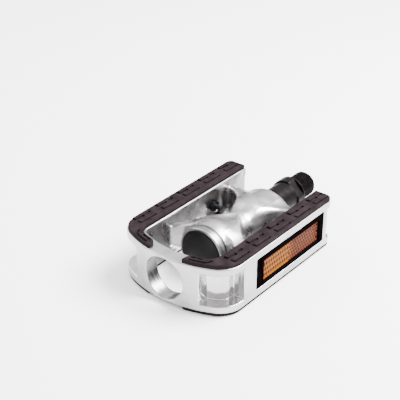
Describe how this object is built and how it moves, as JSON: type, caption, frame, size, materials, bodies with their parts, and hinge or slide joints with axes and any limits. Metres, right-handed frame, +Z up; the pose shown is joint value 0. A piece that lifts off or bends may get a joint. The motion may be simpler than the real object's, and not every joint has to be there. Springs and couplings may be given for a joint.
{
  "type": "flat bicycle pedal",
  "caption": "Flat bicycle pedal: cast aluminium cage with rubber tread pads and amber side reflectors, turning on a steel spindle with a crank thread and wrench flats.",
  "frame": {"origin": "on the spindle's axis, at the collar's shoulder that seats on the crank arm", "axes": "+X along the spindle into the crank arm, +Y to the rear rail, +Z up out of the top pads"},
  "size_m": [0.125, 0.069, 0.0292],
  "materials": {
    "cast_aluminium": "polished die casting, with machined rings on the barrel's end",
    "black_steel": "turned and blackened, satin",
    "bearing_steel": "ground and polished",
    "cap_plastic": "fine moulded grain",
    "seal_rubber": "matt",
    "tread_rubber": "moulded, slightly worn, matt",
    "housing_plastic": "satin moulded",
    "amber_lens": "clear amber over fine corner-cube prisms",
    "fastener_steel": "blackened"
  },
  "bodies": {
    "spindle": {"spindle": "black_steel", "bearing_cone_outboard": "bearing_steel", "tab_washer": "bearing_steel", "lock_nut": "bearing_steel"},
    "pedal_body": {"cage_casting": "cast_aluminium", "bearing_cup_inboard": "bearing_steel", "bearing_cup_outboard": "bearing_steel", "dust_cap": "cap_plastic", "dust_seal": "seal_rubber", "rubber_pad_top_rear": "tread_rubber", "rubber_pad_bottom_rear": "tread_rubber", "reflector_housing_rear": "housing_plastic", "reflector_lens_rear": "amber_lens", "reflector_bolts_rear": "fastener_steel", "reflector_nuts_rear": "fastener_steel", "rubber_pad_top_front": "tread_rubber", "rubber_pad_bottom_front": "tread_rubber", "reflector_housing_front": "housing_plastic", "reflector_lens_front": "amber_lens", "reflector_bolts_front": "fastener_steel", "reflector_nuts_front": "fastener_steel"},
    "inboard_ball_set": {"bearing_balls_inboard": "bearing_steel"},
    "outboard_ball_set": {"bearing_balls_outboard": "bearing_steel"}
  },
  "joints": [
    {"name": "pedal_spin", "type": "hinge", "parent": "spindle", "child": "pedal_body", "pos_m": [0, 0, 0], "axis": [1, 0, 0], "continuous": true},
    {"name": "inboard_balls_orbit", "type": "hinge", "parent": "spindle", "child": "inboard_ball_set", "pos_m": [0, 0, 0], "axis": [1, 0, 0], "continuous": true},
    {"name": "outboard_balls_orbit", "type": "hinge", "parent": "spindle", "child": "outboard_ball_set", "pos_m": [0, 0, 0], "axis": [1, 0, 0], "continuous": true}
  ],
  "couplings": [
    {"joint": "inboard_balls_orbit", "follows": "pedal_spin", "ratio": 0.5877},
    {"joint": "outboard_balls_orbit", "follows": "pedal_spin", "ratio": 0.5877}
  ]
}
